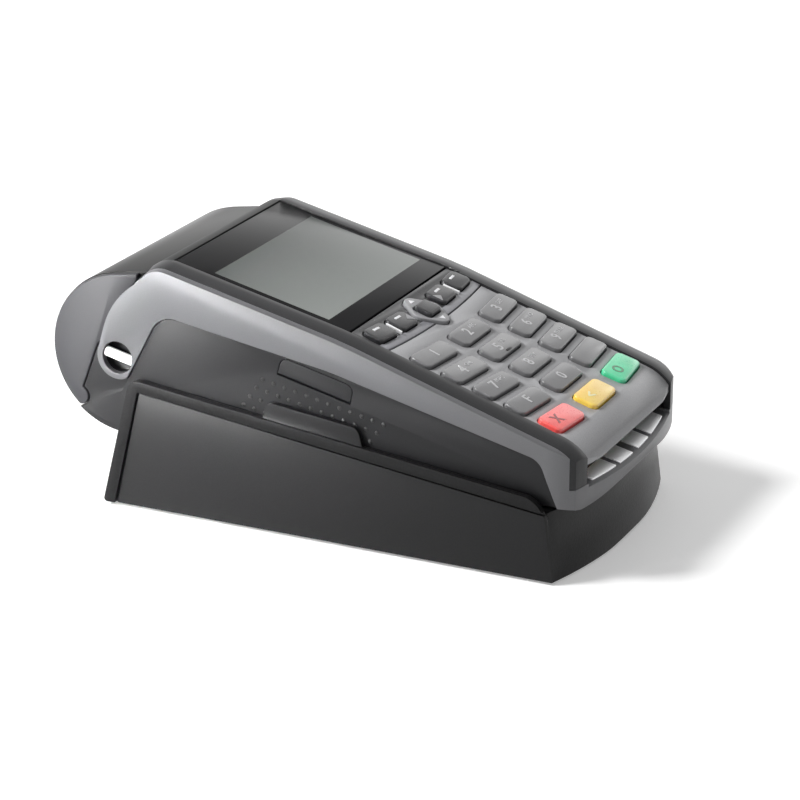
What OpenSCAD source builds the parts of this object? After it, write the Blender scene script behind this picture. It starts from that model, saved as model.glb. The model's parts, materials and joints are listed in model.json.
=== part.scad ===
// Handheld payment terminal with a receipt printer, standing in its charging base.
// Millimetres, +Z up, +Y away from the user. The origin lies on the counter,
// in the middle of the footprint.

/* [Terminal outline] */
// Overall width across the side trim
term_w = 78; // [76:0.5:82]
// Front of the card lip, in front of the origin
front_y = 81; // [79:0.5:84]
// Height of the terminal's underside above the counter
term_z = 20; // [19:0.25:22]
// Height above the drum's axis of the line where the display and keypad planes meet
crest_rise = 14.9; // [13.6:0.1:16]
// Place of that line, in front of the origin
crest_y = 10; // [8:0.5:11]
// Height of the display plane's rear end above the drum
rear_rise = 4.885; // [4.4:0.005:5.4]
// Height of the keypad plane's front end above the underside
front_rise = 15.23; // [14.5:0.01:16]
// Radius of the front shoulder
shoulder_r = 14.5; // [12:0.5:16]
// Radius of the rear top corner
rear_corner_r = 8.3; // [7:0.1:9]
// Radius of the bowed front, seen from above
bow_r = 156; // [130:2:240]
// Radius of the front corners, seen from above
corner_r = 12; // [9:0.5:14]

/* [Shells] */
// Wall of the lower housing
wall = 2.2; // [1.8:0.1:2.4]
// Thickness of the upper housing
frame_t = 2.2; // [1.8:0.1:2.4]
// Width of the sloping edge round the top
edge_w = 5.5; // [4:0.25:6]
// Fall of that edge
edge_drop = 1.2; // [0.8:0.1:1.5]
// Thickness of the side trim
trim_t = 1.8; // [1.5:0.1:2]
// Set-back of the lower housing from the trim
side_step = 0.5; // [0.3:0.1:0.7]
// Radius of the ear round the strap eye
ear_r = 6.3; // [6:0.1:7]
// Diameter of the strap eye
eye_d = 9.4; // [8.5:0.1:10]
// Thickness of the strap bar
bar_d = 2.8; // [2.4:0.1:3]

/* [Display] */
// Width of the frame beside the display window
window_margin = 5.8; // [5.6:0.1:6.6]
// Thickness of the display window
window_t = 1.8; // [1.5:0.1:2.1]
// Set-back of the LCD module from the window's sides
lcd_margin = 0.8; // [0.6:0.1:2]
// Gap from the LCD module to the window's rear end
lcd_end = 11.25; // [9:0.25:13]
// Thickness of the LCD module
lcd_t = 4; // [3:0.1:4.5]

/* [Keys] */
// Gap between the keys of a row
key_gap = 4.5; // [4:0.1:6]
// Gap from the outer keys to the sides of the key plate
key_margin = 0.8; // [0.7:0.05:1.4]
// Gap between the grey rows
row_gap = 2.96; // [2.4:0.02:3.6]
// How much wider the gap in front of the last grey row is
last_more = 0.74; // [0:0.02:1]
// Radius on which each row of keys bends
smile_r = 269; // [200:1:400]
// How much narrower a coloured key is than a grey key
colour_less = 1.4; // [0:0.1:3]
// Depth of a coloured key
colour_d = 7.4; // [6.6:0.1:7.6]
// Gap between the two function keys of a side
function_gap = 2.1; // [1.8:0.1:3]
// Depth of a function key
function_d = 6.4; // [5:0.1:6.6]
// Height of the key tops above the key plate
key_rise = 1.1; // [0.9:0.1:1.4]
// Travel of every key
key_travel = 1; // [0.6:0.05:1]
// Thickness of the key plate
plate_t = 1.6; // [1.4:0.1:1.8]

/* [Printer] */
// Outer radius of the printer drum
drum_r = 23.2; // [22.6:0.1:23.6]
// Set-back of the drum's ends from the sides of the terminal
drum_inset = 3; // [2.8:0.1:4]
// Diameter of the paper roll
roll_d = 28.8; // [24:0.2:28.8]
// Width of the paper roll
roll_w = 57; // [50:0.5:57]
// Diameter of the platen roller
platen_d = 10; // [8.4:0.1:10.2]
// Gear module
gear_m = 0.5; // [0.48:0.01:0.5]
// Width of the gears
gear_w = 2.4; // [2:0.1:2.6]
// Diameter of the lid's hinge pin
pin_d = 2.5; // [2:0.1:2.8]

/* [Charging base] */
// Thickness of the base's sides beside the terminal
base_side = 2.1; // [1.8:0.1:3]
// Height of the deck under the terminal
deck_gap = 0.3; // [0.2:0.05:0.5]
// Wall of the base
base_wall = 2.4; // [2:0.1:2.6]
// Depth of the side panel recess
panel_depth = 0.7; // [0.4:0.1:0.9]
// Width of the rim round that recess
panel_rim = 3.2; // [2.4:0.1:4]
// Thickness of the floor plate
floor_t = 2; // [1.6:0.1:2.4]
// Diameter of a rubber foot
foot_d = 10; // [8:0.5:12]
// Height of a rubber foot
foot_h = 0.8; // [0.6:0.1:1.2]
// Diameter of a contact pin
contact_d = 1.8; // [1.4:0.1:2]

/* [Hidden] */

// Clearances: fixed shells, sliding pieces, running fits, hinge relief
fit_gap = 0.1;
seam_gap = 0.35;
slide_gap = 0.3;
run_gap = 0.05;
arc_step = 6;

// Half widths
hw = term_w / 2;
frame_hw = hw - trim_t - fit_gap;
low_hw = hw - side_step;
drum_hw = hw - drum_inset;
cradle_gap = 0.3;
cradle_hw = hw + cradle_gap;
base_hw = cradle_hw + base_side;
window_hw = frame_hw - window_margin;
lcd_hw = window_hw - lcd_margin;
plate_inset = 0.5;
plate_corner_r = 2.5;
plate_hw = window_hw - plate_inset;
board_inset = 1.3;
board_hw = plate_hw - board_inset;

// Printer drum, with the rear of the terminal as far from the origin as its front
drum_y = front_y - drum_r;
drum_z = term_z + drum_r + 0.2;
crest_z = drum_z + crest_rise;
drum = [drum_y, drum_z, drum_r];
ear = [drum_y + 0.8, drum_z - 0.1, ear_r];
rear_corner_y = drum_y - 13.3;
// Length of the display plane and of the keypad plane, seen from above, and their tilts
display_l = rear_corner_y + crest_y;
pad_l = front_y - crest_y;
display_tilt = atan((drum_z + drum_r + rear_rise - crest_z) / display_l);
keypad_tilt = atan((crest_z - term_z - front_rise) / pad_l);

// Height of the top at a place along the terminal
function top_z(y) = crest_z + tan(y > -crest_y ? display_tilt : keypad_tilt) * (y + crest_y);

// Side outline: circles [y, z, radius] that a belt runs round, counter-clockwise
crest_r = 80;
// Circle that rounds the meeting of two slopes at a point
function knee(y, z, rear_tilt, front_tilt) =
    let (a = 90 + (rear_tilt + front_tilt) / 2, reach = crest_r / cos((front_tilt - rear_tilt) / 2))
    [y - reach * cos(a), z - reach * sin(a), crest_r];
shoulder_y = shoulder_r - front_y;
shoulder_z = top_z(shoulder_y) - shoulder_r / cos(keypad_tilt);
toe_r = min(3.5, shoulder_z - term_z - 0.5);
heel_r = 10;
rear_corner = [rear_corner_y, top_z(rear_corner_y) - rear_corner_r / cos(display_tilt), rear_corner_r];
crest = knee(-crest_y, crest_z, display_tilt, keypad_tilt);
shoulder = [shoulder_y, shoulder_z, shoulder_r];
toe = [toe_r - front_y, term_z + toe_r, toe_r];
heel = [drum_y - 13.8, term_z + heel_r, heel_r];
// Large circle that bows the rear edge of the trim: wider than the drum, and far enough ahead to leave the ear out
bow_back_r = drum_r + 1.6;
bow_back = [ear[0] - max(19.7, bow_back_r - 5.1), ear[1] + 1.2, bow_back_r];
outline = [heel, [ear[0], ear[1], ear_r + edge_drop], [bow_back[0], bow_back[1], bow_back[2] + edge_drop],
    rear_corner, crest, shoulder, toe];
top_outline = [[rear_corner_y - 14.5, term_z + 2, 2], rear_corner, crest, shoulder, toe];

// Side window in the trim that the lower housing fills
panel_r = 6.9;
panel_rear = [ear[0] - 17.6, ear[1] + 6.446, panel_r];
panel_mid = knee(2 - crest_y, top_z(2 - crest_y) - 10.3, display_tilt - 3.5, keypad_tilt - 3);
panel_front = [shoulder_y + 3, shoulder_z + 4.7, 5];
panel = [[panel_rear[0] + 16.1, panel_rear[1] - 29.7, panel_r], panel_rear, panel_mid, panel_front,
    [panel_front[0] - 8.7, panel_front[1] - 19.3, 4]];
// Top of the card lip and lower edge of the key plate
slot_z = term_z + 6.2;
slot_h = 5;
frame_rear_y = rear_corner_y + 4.9;

// Levels below the top, square to the keypad and display planes
pad_y = crest_y + pad_l * 33.5 / 71;
plate_drop = 0.6;
plate_under = plate_drop + plate_t;
flange_t = 0.8;
flange_edge = 0.8;
board_t = 1.6;
board_drop = plate_under + 0.15 + flange_t + key_travel + 1.35;
dome_h = 0.35;
stem_drop = board_drop - dome_h - run_gap - key_travel;
function_drop = 0.4;
function_t = 2;
window_drop = 0.2;
lcd_drop = window_drop + window_t + slide_gap;
window_s = 1.2;
window_end = (display_l - 0.8) / cos(display_tilt);
lcd_s = 6;
lcd_l = window_end - lcd_end - lcd_s;
main_drop = lcd_drop + lcd_t + 2.5;
main_l = display_l * 0.532;
service_hw = 4;
service_h = 3.4;
service_l = 8;
service_t = 0.6;

// Keypad: rows from the rear, columns from the left
key_w = (2 * (plate_hw - key_margin) - 2 * key_gap) / 3;
colour_w = key_w - colour_less;
col_pitch = key_w + key_gap;
row_pitch = pad_l * 9.56 / 71;
key_d = row_pitch - row_gap;
row_y = [for (i = [0:3]) (1.5 - i) * row_pitch];
colour_y = row_y[3] - row_pitch - last_more;
smile_a = asin(col_pitch / smile_r);
smile_sag = smile_r * (1 - cos(smile_a));
pad_top = (pad_y - crest_y) / cos(keypad_tilt);
plate_rear_y = pad_top - 12.62;
function_y = plate_rear_y + 6.4;
function_rear_y = pad_top + 0.6;
rocker_w = 12.4;
rocker_d = 14;
rocker_tip_r = 3;
rocker_y = plate_rear_y + rocker_d / 2 - 2;
rocker_gap = 1.9;
function_margin = 1.4;
function_w = (plate_hw - function_margin - function_gap - rocker_w / 2 - rocker_gap) / 2;
function_inner = rocker_w / 2 + rocker_gap + function_w / 2;
function_outer = function_inner + function_w + function_gap;
function_x = [-function_outer, -function_inner, function_inner, function_outer];
menu_w = 7;
menu_d = 5.6;

// Hinge of the lid and the seam between lid and tub
hinge_a = -43.4;
knuckle_r = pin_d / 2 + 1.15;
relief_r = knuckle_r + 1.8;
cheek_eye_r = knuckle_r + 0.3;
hinge_dir = [cos(hinge_a), sin(hinge_a)];
pin_at = [drum_y, drum_z] + (drum_r - knuckle_r) * hinge_dir;
hinge_out = [drum_y, drum_z] + (drum_r + 8) * hinge_dir;
seam_low = [drum_y + 17.7, drum_z - 22.3];
seam_mid = [drum_y + 8.5, drum_z + 1.5];
seam_top = [drum_y + 4.7, drum_z + 4.4];
seam_nose = [drum_y - 4.8, drum_z + 22.1];
nose = [frame_rear_y + seam_gap + 1.8, rear_corner[1] + 3, 1.8];
// Height of the lid's flat top, drawn in by d, at a place along it
lid_a = leave(drum, nose);
function lid_z(y, d) = drum_z + (drum_r - d - cos(lid_a) * (y - drum_y)) / sin(lid_a);
knuckle_w = 28;
cheek_t = 2;
cheek_lap = 0.3;

// Printer works
platen_at = [drum_y - 7.8, drum_z + 14.8];
platen_n = 22;
idler_n = 20;
pinion_n = 14;
idler_a = 195;
pinion_a = 204;
gear_side = 0.6;
gear_x = drum_hw - cheek_t - gear_side - gear_w;
arm_t = 1.6;
arm_gap = 0.5;
arm_x = gear_x - arm_gap - arm_t;
arm_eye_r = 3.4;
arm_root_r = 1.6;
arm_root_y = platen_at[0] + 6;
arm_root = [arm_root_y, lid_z(arm_root_y, wall + 0.34)];
platen_hl = arm_x - arm_gap;
shaft_r = 1.5;
axle_r = 1;
idler_at = platen_at + gear_m * (platen_n + idler_n) / 2 * [cos(idler_a), sin(idler_a)];
pinion_at = idler_at + gear_m * (idler_n + pinion_n) / 2 * [cos(pinion_a), sin(pinion_a)];
head_rear = platen_at[0] - platen_d / 2 - slide_gap;
head_t = 3.5;
head_hl = arm_x - 0.9;
head_low = 3.6;
head_high = 4.2;
core_r = 6;
beam_t = 3.5;
motor_r = 5.8;
motor_l = 17;
roll_r = roll_d / 2;
roll_at = [drum_y, drum_z - drum_r + wall + roll_r + slide_gap];

// Charging base
deck_z = term_z - deck_gap;
base_rear = drum_y + 4.2;
base_front = front_y - 2.2;
base_bow_r = 134.5;
base_lean = 8;
base_outline = [[base_rear, foot_h + 1, 1], [base_rear - 11.1, term_z + 14.4, 3.7],
    [6.8 - base_front, term_z - 1.6, 4.8], [1 - base_front, foot_h + 1, 1]];
cavity_hw = base_hw - base_wall - panel_depth;
floor_top = foot_h + floor_t;
board_z = floor_top + 3.2;
contact_y = drum_y - drum_r - 3.1;
contact_x = [-8, 0, 8];
contact_block_w = 26;
contact_block_d = 7;
foot_inset = [7.3, 18.8, 12];
foot_x = cavity_hw - foot_inset[0];
foot_y = [foot_inset[1] - base_front, base_rear - foot_inset[2]];
post_inset = [5.3, 30.8, 24];
post_x = cavity_hw - post_inset[0];
post_y = [post_inset[1] - base_front, base_rear - post_inset[2]];
post_r = 3;
base_board_inset = 9.3;
base_board_l = 56;
base_board_hw = cavity_hw - base_board_inset;
base_board_rear = base_rear - base_board_inset - 0.7;
base_board_y = [base_board_rear - base_board_l, base_board_rear];
board_post_inset = [3, 6];
board_post_x = base_board_hw - board_post_inset[0];
board_post_y = base_board_y + board_post_inset[1] * [1, -1];
board_post_r = 2.2;
base_screw_r = 1.2;
base_screw_l = 10;
base_head_r = 2.3;
groove_w = 1.1;
groove_depth = 0.6;
side_corner = [16.5 - base_front, deck_z - 3.4, 8.2];
tab_y = [12.5, 9.6, -13.6, -16.5];
tab_h = [6, 15.4, 12.6, 4];
tab_r = [2, 2.6, 2.6, 2];
socket_w = 10;
socket_h = 9;

// Screws of the terminal, battery and card reader
boss_r = 2.2;
screw_x = low_hw - wall - boss_r - fit_gap;
screw_inset = [21, 25.5];
screw_y = [screw_inset[0] - front_y, rear_corner_y - screw_inset[1]];
head_r = 1.6;
screw_r = 0.9;
screw_l = 10;
screw_seat = term_z + 4.4;
reader_w = 58;
reader_front = panel_front[0] - 6;
reader_l = 40;
battery_gap = 4.5;
battery_back = 6.5;
battery_w = 53;
battery_y = [reader_front + reader_l + battery_gap, contact_y - battery_back];
battery_h = 15;
door_lap = 2;
door_w = battery_w + 3;
door_y = battery_y + door_lap * [-1, 1];
reader_h = 8;
card_hw = 27.3;
card_l = 35;
lip_pads = hw / 39 * [2, 10.5, 13, 26];
lip_pad_l = 7;
lip_pad_t = 0.5;
lip_fall = 1.7;
lip_inset = 0.6;
dock_hw = 2;
dock_hd = 1.5;
dock_edge = 0.6;

// Port cover on the left side, in the display plane's frame
cover_s = 4.6;
cover_l = 22;
cover_h = 4.2;
cover_t = 1.6;
cover_drop = 13.5;
cover_r = 2.2;

function turn(a) = a - 360 * floor(a / 360);
function leave(a, b) =
    let (v = [b[0] - a[0], b[1] - a[1]]) atan2(v[1], v[0]) - acos((a[2] - b[2]) / norm(v));
function bend(c, r, a0, sweep) =
    let (n = max(1, ceil(sweep / arc_step)))
    [for (k = [0:n]) [c[0] + r * cos(a0 + sweep * k / n), c[1] + r * sin(a0 + sweep * k / n)]];
// Outline of a belt round circles, drawn in by d
function belt(cs, d = 0) =
    let (n = len(cs))
    [for (i = [0:n - 1])
        let (a0 = leave(cs[(i + n - 1) % n], cs[i]))
        each bend(cs[i], max(cs[i][2] - d, 0.05), a0, turn(leave(cs[i], cs[(i + 1) % n]) - a0))];
// The same outline made of true arcs: the straight belt, and a cap of each circle that laps into it
function cap_lap(r) = min(0.25, 0.4 / r);
// A cap stands proud by a hair, so that it crosses the straight sides instead of only touching them
arc_over = 0.004;
module strap(cs, d = 0) {
    n = len(cs);
    arcs = [for (i = [0:n - 1])
        let (a0 = leave(cs[(i + n - 1) % n], cs[i]))
        [cs[i], max(cs[i][2] - d, 0.05), a0, turn(leave(cs[i], cs[(i + 1) % n]) - a0)]];
    polygon([for (a = arcs, e = [0, a[3]])
        [a[0][0] + a[1] * cos(a[2] + e), a[0][1] + a[1] * sin(a[2] + e)]]);
    for (a = arcs)
        if (a[1] > 0.1)
            translate([a[0][0], a[0][1]])
                rotate(a[2] + a[3] / 2)
                    intersection() {
                        circle(r = a[1] + arc_over, $fn = a[1] > 20 ? 240 : 48);
                        translate([a[1] * (cos(a[3] / 2) - cap_lap(a[1])), -2 * a[1]]) square(4 * a[1]);
                    }
}
module round_rect(w, d, r) {
    square([w - 2 * r, d], center = true);
    square([w, d - 2 * r], center = true);
    for (x = [r - w / 2, w / 2 - r], y = [r - d / 2, d / 2 - r])
        translate([x, y]) circle(r = r, $fn = 32);
}

// A side outline drawn in y and z, carried across the width
module along_x(w) {
    rotate([90, 0, 90]) linear_extrude(w, center = true) children();
}
module side_slab(x0, x1) {
    for (s = [-1, 1])
        translate([s * (x0 + x1) / 2, 0, 0]) along_x(x1 - x0) children();
}
module rod(at, r, x0, x1) {
    translate([x0, at[0], at[1]]) rotate([0, 90, 0]) cylinder(r = r, h = x1 - x0, $fn = 48);
}
module on_keypad() {
    translate([0, -pad_y, top_z(-pad_y)]) rotate([keypad_tilt, 0, 0]) children();
}
module on_display() {
    translate([0, -crest_y, crest_z]) rotate([display_tilt, 0, 0]) children();
}
module box(x, y, z) {
    translate([x[0], y[0], z[0]]) cube([x[1] - x[0], y[1] - y[0], z[1] - z[0]]);
}

// The same piece at both places across and both places along
module at_corners(x, y, z) {
    for (s = [-1, 1], v = y)
        translate([s * x, v, z]) children();
}

// Bowed front and rounded corners, seen from above, drawn in by d
module plan_form(d, side, r = corner_r) {
    x = hw - r - side + d;
    intersection() {
        translate([0, bow_r - front_y, 0]) cylinder(r = bow_r - d, h = 100, $fn = 200);
        linear_extrude(100)
            strap([[-x, r - front_y, r], [x, r - front_y, r], [x, front_y + 20, r], [-x, front_y + 20, r]], d);
    }
}
module envelope() {
    intersection() {
        hull() {
            along_x(term_w - 2 * edge_w) polygon(belt(outline));
            along_x(term_w) polygon(belt(outline, edge_drop));
        }
        plan_form(0, 0);
    }
}
module inner_form(d, w, r = corner_r) {
    intersection() {
        along_x(w) strap(outline, d);
        plan_form(d, hw - w / 2, r);
    }
}
module trim_side() {
    difference() {
        union() {
            strap(top_outline);
            strap([ear, bow_back, [rear_corner[0] + 2.9, rear_corner[1] - 0.6, rear_corner_r - 2.9]]);
        }
        strap(panel, -seam_gap);
    }
}

// Cross-section of the lower housing, seen from the front, drawn in by d
module low_section(d) {
    side = low_hw - d;
    rotate([90, 0, 0])
        linear_extrude(300, center = true)
            polygon([[-side, 100], [-side, term_z + 5], [2 - side, term_z + d],
                [side - 2, term_z + d], [side, term_z + 5], [side, 100]]);
}

// Involute gear on an axis along X, with a tooth at the given angle
pressure = 20;
backlash = 0.12;
function inv(a) = tan(a) * 180 / PI - a;
function tooth_half(n, r) =
    let (rp = gear_m * n / 2, rb = rp * cos(pressure))
    90 / n - backlash / 2 / rp * 180 / PI / 2 + inv(pressure) - inv(acos(min(1, rb / r)));
module gear(at, n, phase) {
    rp = gear_m * n / 2;
    root = rp - 1.2 * gear_m;
    base = max(root + 0.01, rp * cos(pressure));
    tip = rp + 0.84 * gear_m;
    rs = [root, base, base + (tip - base) / 3, base + (tip - base) * 2 / 3, tip];
    flank = [for (r = rs) [r, tooth_half(n, max(r, base))]];
    translate([gear_x, at[0], at[1]])
        rotate([90, 0, 90])
            linear_extrude(gear_w)
                polygon([for (i = [0:n - 1], k = [0:9])
                    let (f = flank[k < 5 ? k : 9 - k], a = phase + i * 360 / n + (k < 5 ? -f[1] : f[1]))
                    f[0] * [cos(a), sin(a)]]);
}

// The charging base

module base_bow(d) {
    translate([0, -base_front, 0])
        rotate([-base_lean, 0, 0])
            translate([0, base_bow_r, -20]) cylinder(r = base_bow_r - d, h = 100, $fn = 200);
}
module base_tab() {
    strap([for (i = [0:3]) [tab_y[i], term_z + tab_h[i], tab_r[i]]]);
}
module base_panel(d = 0) {
    ahead = base_outline[2] + 0.2 * (base_outline[2] - base_outline[1]);
    strap([[base_rear - 1.4, -6, 4], base_outline[1], ahead, [ahead[0], -6, 4]], panel_rim + d);
}
module base_shell() {
    under = deck_z - base_wall;
    color("dimgray")
    difference() {
        union() {
            difference() {
                intersection() {
                    along_x(2 * base_hw) strap(base_outline);
                    base_bow(0);
                }
                box([-cradle_hw, cradle_hw], [-100, 100], [deck_z, 100]);
                intersection() {
                    along_x(2 * cavity_hw) strap(base_outline, base_wall);
                    base_bow(base_wall);
                    box([-100, 100], [-100, 100], [0, under]);
                }
                intersection() {
                    box([-cavity_hw, cavity_hw], [-100, base_rear - base_wall], [-1, floor_top + 1]);
                    base_bow(base_wall);
                }
                side_slab(base_hw - panel_depth, base_hw + 1) base_panel();
                side_slab(cradle_hw, base_hw + 1)
                    difference() {
                        translate([side_corner[0] - 2 * side_corner[2], side_corner[1]]) square(2 * side_corner[2]);
                        translate([side_corner[0], side_corner[1]]) circle(r = side_corner[2], $fn = 64);
                    }
            }
            side_slab(cradle_hw, base_hw - panel_depth - fit_gap) base_tab();
            at_corners(post_x, post_y, floor_top) cylinder(r = post_r, h = under - floor_top + 0.5, $fn = 48);
        }
        side_slab(base_hw - panel_depth - groove_depth, base_hw + 1)
            difference() {
                base_panel();
                base_panel(groove_w);
            }
        at_corners(post_x, post_y, 0) cylinder(r = base_screw_r + run_gap, h = base_screw_l + 3, $fn = 32);
        box(contact_block_w / 2 * [-1, 1] + fit_gap * [-1, 1],
            [contact_y, contact_y] + (contact_block_d / 2 + fit_gap) * [-1, 1], [under - 1, deck_z + 1]);
        box((socket_w / 2 + fit_gap) * [-1, 1], [base_rear - 12, base_rear + 5],
            [board_z + board_t - fit_gap, board_z + board_t + socket_h + fit_gap]);
    }
}
module base_floor() {
    color("black")
    difference() {
        union() {
            intersection() {
                box((cavity_hw - fit_gap) * [-1, 1], [-100, base_rear - base_wall - fit_gap],
                    [foot_h, floor_top]);
                base_bow(base_wall + fit_gap);
            }
            at_corners(board_post_x, board_post_y, foot_h)
                cylinder(r = board_post_r, h = board_z - foot_h, $fn = 32);
        }
        at_corners(post_x, post_y, 0) {
            cylinder(r = base_screw_r + 0.2, h = base_screw_l, $fn = 32);
            cylinder(r = base_head_r + fit_gap, h = foot_h + 1.2, $fn = 32);
        }
    }
}
module base_feet() {
    color("black")
    at_corners(foot_x, foot_y, 0) cylinder(d = foot_d, h = foot_h, $fn = 48);
}
module base_screws() {
    color("silver")
    at_corners(post_x, post_y, foot_h + 0.2) {
        cylinder(r = base_head_r, h = 1, $fn = 32);
        cylinder(r = base_screw_r, h = base_screw_l, $fn = 32);
    }
}
module base_board() {
    color("darkgreen")
    box(base_board_hw * [-1, 1], base_board_y, [board_z, board_z + board_t]);
}
block_z = deck_z - 7.7;
module contact_block() {
    under = deck_z - base_wall;
    color("black")
    difference() {
        union() {
            box(contact_block_w / 2 * [-1, 1], [contact_y, contact_y] + contact_block_d / 2 * [-1, 1],
                [block_z, deck_z - 0.2]);
            box((contact_block_w / 2 + 2) * [-1, 1],
                [contact_y, contact_y] + (contact_block_d / 2 + 2) * [-1, 1], [under - 2, under]);
        }
        for (x = contact_x)
            translate([x, contact_y, 0]) cylinder(d = contact_d + 2 * run_gap, h = 2 * deck_z, $fn = 32);
    }
}
module contact_pins() {
    color("gold")
    for (x = contact_x)
        translate([x, contact_y, block_z - 1.3]) {
            cylinder(d = contact_d, h = term_z - 0.1 - block_z + 1.3, $fn = 32);
            cylinder(d = contact_d + 1.4, h = 1.2, $fn = 32);
        }
}
module power_socket() {
    rear = base_rear - 3;
    z0 = board_z + board_t;
    color("black")
    union() {
        difference() {
            box(socket_w / 2 * [-1, 1], [rear - 12, rear], [z0, z0 + socket_h]);
            translate([0, rear + 1, z0 + socket_h / 2])
                rotate([90, 0, 0]) cylinder(r = 3.1, h = 10, $fn = 48);
        }
        translate([0, rear - 1, z0 + socket_h / 2])
            rotate([90, 0, 0]) cylinder(r = 1, h = 9, $fn = 32);
    }
}

// Shells of the terminal

module tub_ring() {
    top = drum_z + 0.8;
    intersection() {
        difference() {
            translate([drum_y, drum_z]) circle(r = drum_r, $fn = 120);
            translate([drum_y, drum_z]) circle(r = drum_r - wall, $fn = 120);
        }
        polygon([[drum_y, drum_z], hinge_out, [drum_y + 30, 0], [0, 0], [0, top], [drum_y, top]]);
    }
}
module tub_end() {
    intersection() {
        translate([drum_y, drum_z]) circle(r = drum_r, $fn = 120);
        polygon([[0, 0], seam_low, seam_mid, seam_top, [0, seam_top[1]]]);
    }
}
module lower_housing() {
    inner_hw = drum_hw - cheek_t;
    color("dimgray")
    difference() {
        union() {
            difference() {
                intersection() {
                    envelope();
                    along_x(2 * low_hw) strap(panel);
                    low_section(0);
                }
                intersection() {
                    along_x(2 * (low_hw - wall)) strap(outline, wall);
                    low_section(wall);
                }
                rod(drum, drum_r - wall, -inner_hw, inner_hw);
            }
            difference() {
                union() {
                    along_x(2 * drum_hw) tub_ring();
                    side_slab(inner_hw, drum_hw) tub_end();
                }
                rod(pin_at, relief_r, -knuckle_w / 2 - slide_gap, knuckle_w / 2 + slide_gap);
                rod(pin_at, cheek_eye_r + 2 * slide_gap, inner_hw - slide_gap, drum_hw + 1);
                rod(pin_at, cheek_eye_r + 2 * slide_gap, -drum_hw - 1, slide_gap - inner_hw);
            }
            rod(pin_at, knuckle_r, knuckle_w / 2 + slide_gap, inner_hw - slide_gap);
            rod(pin_at, knuckle_r, slide_gap - inner_hw, -knuckle_w / 2 - slide_gap);
            rod(ear, ear_r - 0.4, drum_hw - 1, hw - trim_t - fit_gap);
            rod(ear, ear_r - 0.4, trim_t + fit_gap - hw, 1 - drum_hw);
            at_corners(screw_x, screw_y, term_z) cylinder(r = boss_r, h = screw_seat - term_z, $fn = 32);
        }
        rod(pin_at, pin_d / 2 + run_gap, -hw, hw);
        rod(ear, eye_d / 2, drum_hw - 1, hw);
        rod(ear, eye_d / 2, -hw, 1 - drum_hw);
        box((door_w / 2 + fit_gap) * [-1, 1], door_y + fit_gap * [-1, 1], [0, term_z + wall + 1]);
        at_corners(screw_x, screw_y, term_z - 1) {
            cylinder(r = screw_r + 0.2, h = screw_l, $fn = 32);
            cylinder(r = head_r + fit_gap, h = 3.2, $fn = 32);
            translate([0, 0, 1 + screw_seat - term_z]) cylinder(r = boss_r + fit_gap, h = 5, $fn = 32);
        }
        for (x = contact_x)
            box([x, x] + (dock_hw + fit_gap) * [-1, 1], [contact_y, contact_y] + (dock_hd + fit_gap) * [-1, 1],
                [0, term_z + wall + 1]);
        on_display()
            translate([wall / 2 - low_hw, cover_s, -cover_drop])
                along_x(wall + 2) cover_form(slide_gap, -(cover_h + cover_t) / 2 - slide_gap);
    }
}
module upper_housing() {
    color("dimgray")
    union() {
        difference() {
            intersection() {
                envelope();
                along_x(2 * frame_hw)
                    difference() {
                        polygon([[-front_y - 1, slot_z + fit_gap], [frame_rear_y, slot_z + fit_gap],
                            [frame_rear_y, 100], [-front_y - 1, 100]]);
                        strap(panel, -seam_gap);
                    }
            }
            inner_form(frame_t, 2 * (frame_hw - 1.6));
            box((plate_hw + 0.2) * [-1, 1], [-front_y - 1, -crest_y - 3], [0, 100]);
            box((window_hw + 0.2) * [-1, 1], [-crest_y - 3.1, rear_corner_y - 0.3], [0, 100]);
        }
        for (y = screw_y)
            at_corners(screw_x, [y], screw_seat)
                difference() {
                    cylinder(r = boss_r, h = top_z(y) - screw_seat - 1.7, $fn = 32);
                    translate([0, 0, -1]) cylinder(r = screw_r + run_gap, h = screw_l - 1, $fn = 32);
                }
    }
}
// Sloping top of the card lip, from h0 to h1 above it
module lip_slope(h0, h1) {
    polygon([[-front_y, slot_z - lip_fall + h0], [lip_pad_l - front_y, slot_z + h0],
        [lip_pad_l - front_y, slot_z + h1], [-front_y, slot_z - lip_fall + h1]]);
}
module side_trim() {
    color("silver")
    difference() {
        intersection() {
            envelope();
            along_x(term_w) trim_side();
        }
        box((hw - trim_t) * [-1, 1], [-100, 100], [slot_z, 100]);
        along_x(2 * (plate_hw - lip_inset)) lip_slope(0, lip_fall + 1);
        rod(ear, eye_d / 2, -hw - 1, hw + 1);
    }
}
module strap_bars() {
    chord = sqrt(eye_d * eye_d - bar_d * bar_d);
    color("white")
    for (s = [-1, 1])
        translate([s * (hw - bar_d / 2 - 0.2), ear[0], ear[1]])
            rotate([display_tilt - 90, 0, 0])
                cylinder(d = bar_d, h = chord - fit_gap, center = true, $fn = 32);
}
module display_window() {
    color("black")
    on_display()
        box(window_hw * [-1, 1], [window_s, window_end], [-window_drop - window_t, -window_drop]);
}
module lcd_module() {
    color("lightgray")
    on_display() {
        box(lcd_hw * [-1, 1], [lcd_s, lcd_s + lcd_l], [-lcd_drop - lcd_t, -lcd_drop]);
        at_corners(lcd_hw - 10.5, [lcd_s + 4, main_l - 3], -main_drop)
            cylinder(r = 1.5, h = main_drop - lcd_drop - lcd_t + 1, $fn = 32);
    }
}
module main_board() {
    color("darkgreen")
    on_display() box(board_hw * [-1, 1], [1, 1 + main_l], [-main_drop - board_t, -main_drop]);
}
module service_socket() {
    top = -main_drop - board_t;
    inset = service_t * [1, -1];
    across = [cover_s, cover_s] + service_hw * [-1, 1];
    high = [top - service_h, top];
    left = slide_gap + wall - low_hw;
    color("silver")
    on_display()
        difference() {
            box([left, left + service_l], across, high);
            box([-low_hw, left + service_l - 3], across + inset, high + inset);
        }
}
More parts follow.
